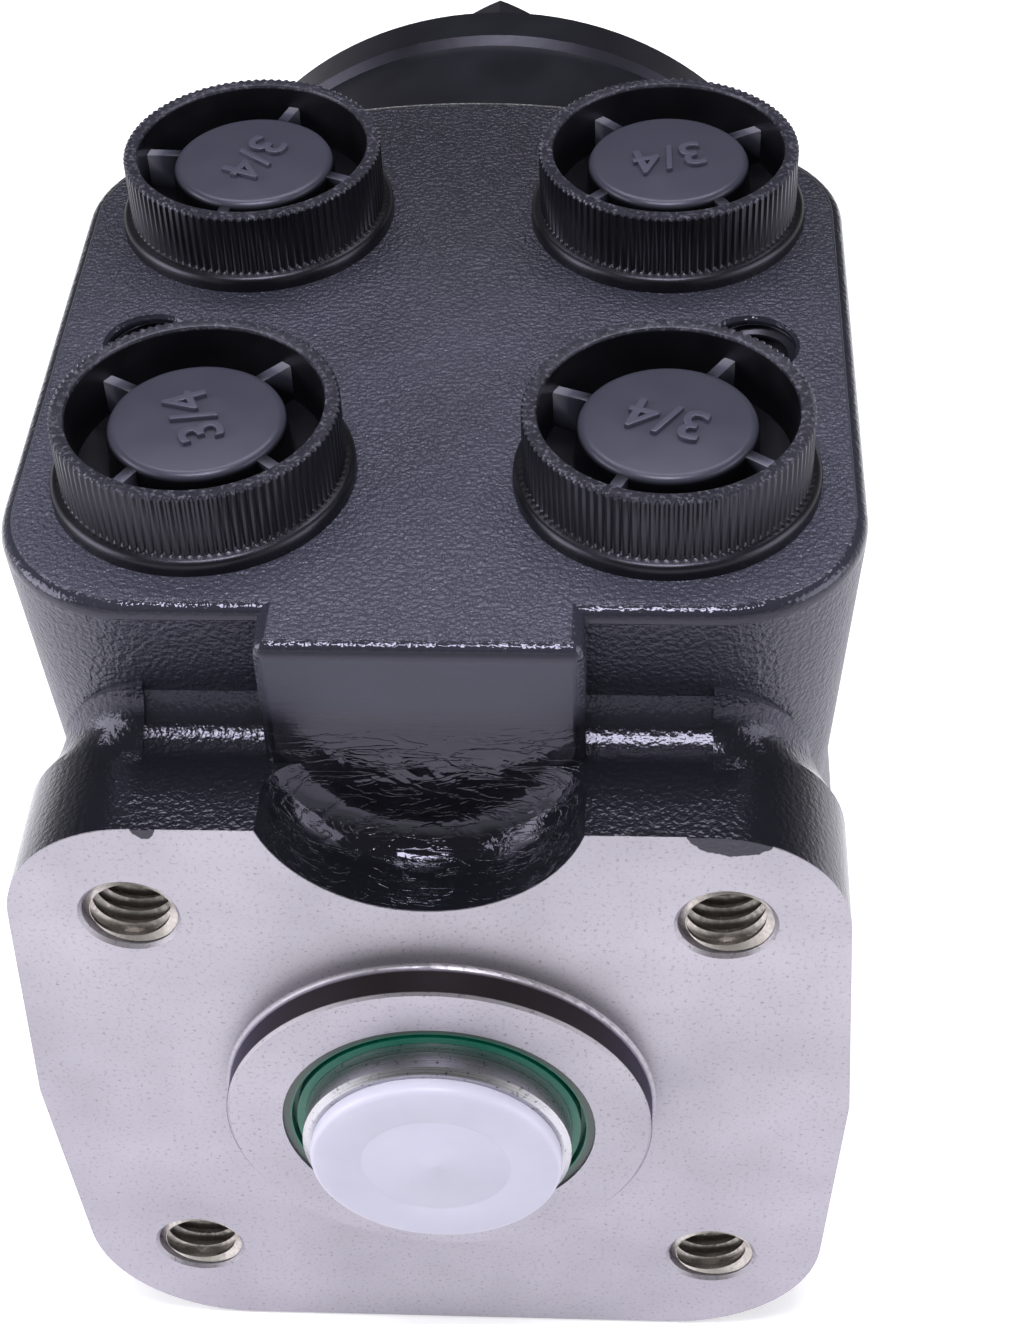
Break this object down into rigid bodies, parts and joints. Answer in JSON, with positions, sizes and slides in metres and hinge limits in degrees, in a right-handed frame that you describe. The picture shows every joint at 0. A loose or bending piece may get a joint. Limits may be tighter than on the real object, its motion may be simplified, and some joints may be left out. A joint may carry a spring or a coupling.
{
  "type": "orbital steering unit",
  "caption": "Hydraulic steering unit with a square mounting flange, raised pilot, threaded ports under transit plugs, rotary spool valve and gerotor metering set.",
  "frame": {"origin": "centre of the mounting flange's machined face, on the shaft axis", "axes": "+Y from the flange through the valve to the end cover, +Z out of the port face, +X to the right seen from the flange end"},
  "size_m": [0.0876, 0.1636, 0.1098],
  "materials": {
    "black_painted_iron": "black paint over a sand casting, machined bare on the flange face",
    "black_painted_steel": "black paint over zinc-plated steel",
    "ground_steel": "ground bare steel",
    "hardened_steel": "hardened bright steel",
    "spring_steel": "blued spring steel",
    "green_rubber": "dark green nitrile rubber",
    "dark_rubber": "black nitrile rubber",
    "white_plastic": "milky white polyethylene",
    "black_plastic": "black injection-moulded polyethylene"
  },
  "bodies": {
    "casing": {"housing": "black_painted_iron", "shaft_seal": "green_rubber", "pressure_seal_ring": "dark_rubber", "bearing_race_front": "hardened_steel", "distributor_plate": "black_painted_iron", "gear_ring": "black_painted_iron", "end_cover": "black_painted_iron", "sealing_rings": "dark_rubber", "cover_screws": "black_painted_steel", "special_screw": "black_painted_steel", "screw_washers": "black_painted_steel", "check_valve_seat": "hardened_steel"},
    "sleeve_set": {"sleeve": "ground_steel", "cross_pin": "hardened_steel", "centring_springs": "spring_steel", "spring_ring": "hardened_steel", "bearing_race_rear": "hardened_steel"},
    "spool_body": {"spool": "ground_steel"},
    "bearing_row": {"bearing_cage": "hardened_steel", "bearing_needles": "hardened_steel"},
    "orbiting_spacer": {"shaft_spacer": "hardened_steel"},
    "rotor_body": {"rotor": "ground_steel"},
    "drive_shaft_body": {"drive_shaft": "hardened_steel"},
    "check_ball_body": {"check_ball": "hardened_steel"},
    "spool_cap_body": {"spool_cap": "white_plastic"},
    "plug_front_left": {"port_plug_front_left": "black_plastic"},
    "plug_front_right": {"port_plug_front_right": "black_plastic"},
    "plug_rear_left": {"port_plug_rear_left": "black_plastic"},
    "plug_rear_right": {"port_plug_rear_right": "black_plastic"}
  },
  "joints": [
    {"name": "sleeve_turn", "type": "hinge", "parent": "casing", "child": "sleeve_set", "pos_m": [0, 0.06, 0], "axis": [0, 1, 0], "continuous": true},
    {"name": "spool_shift", "type": "hinge", "parent": "sleeve_set", "child": "spool_body", "pos_m": [0, 0.06, 0], "axis": [0, 1, 0], "range_deg": [-8, 8], "stiffness_Nm_per_rad": 2},
    {"name": "bearing_turn", "type": "hinge", "parent": "casing", "child": "bearing_row", "pos_m": [0, 0.01425, 0], "axis": [0, 1, 0], "continuous": true},
    {"name": "rotor_orbit", "type": "hinge", "parent": "casing", "child": "orbiting_spacer", "pos_m": [0, 0.136, 0], "axis": [0, 1, 0], "continuous": true},
    {"name": "rotor_spin", "type": "hinge", "parent": "orbiting_spacer", "child": "rotor_body", "pos_m": [0, 0.1282, 0.0036], "axis": [0, 1, 0], "continuous": true},
    {"name": "drive_shaft_spin", "type": "hinge", "parent": "orbiting_spacer", "child": "drive_shaft_body", "pos_m": [0, 0.06, 0], "axis": [0, 0.9985, 0.0553], "continuous": true},
    {"name": "check_ball_lift", "type": "slide", "parent": "casing", "child": "check_ball_body", "axis": [0, 1, 0], "range_m": [0, 0.001]},
    {"name": "spool_cap_pull", "type": "slide", "parent": "spool_body", "child": "spool_cap_body", "axis": [0, -1, 0], "range_m": [0, 0.01]},
    {"name": "plug_front_left_lift", "type": "slide", "parent": "casing", "child": "plug_front_left", "axis": [0, 0, 1], "range_m": [0, 0.013]},
    {"name": "plug_front_right_lift", "type": "slide", "parent": "casing", "child": "plug_front_right", "axis": [0, 0, 1], "range_m": [0, 0.013]},
    {"name": "plug_rear_left_lift", "type": "slide", "parent": "casing", "child": "plug_rear_left", "axis": [0, 0, 1], "range_m": [0, 0.013]},
    {"name": "plug_rear_right_lift", "type": "slide", "parent": "casing", "child": "plug_rear_right", "axis": [0, 0, 1], "range_m": [0, 0.013]}
  ],
  "couplings": [
    {"joint": "bearing_turn", "follows": "sleeve_turn", "ratio": 0.5},
    {"joint": "rotor_orbit", "follows": "sleeve_turn", "ratio": -6},
    {"joint": "rotor_spin", "follows": "sleeve_turn", "ratio": 7},
    {"joint": "drive_shaft_spin", "follows": "sleeve_turn", "ratio": 7}
  ]
}
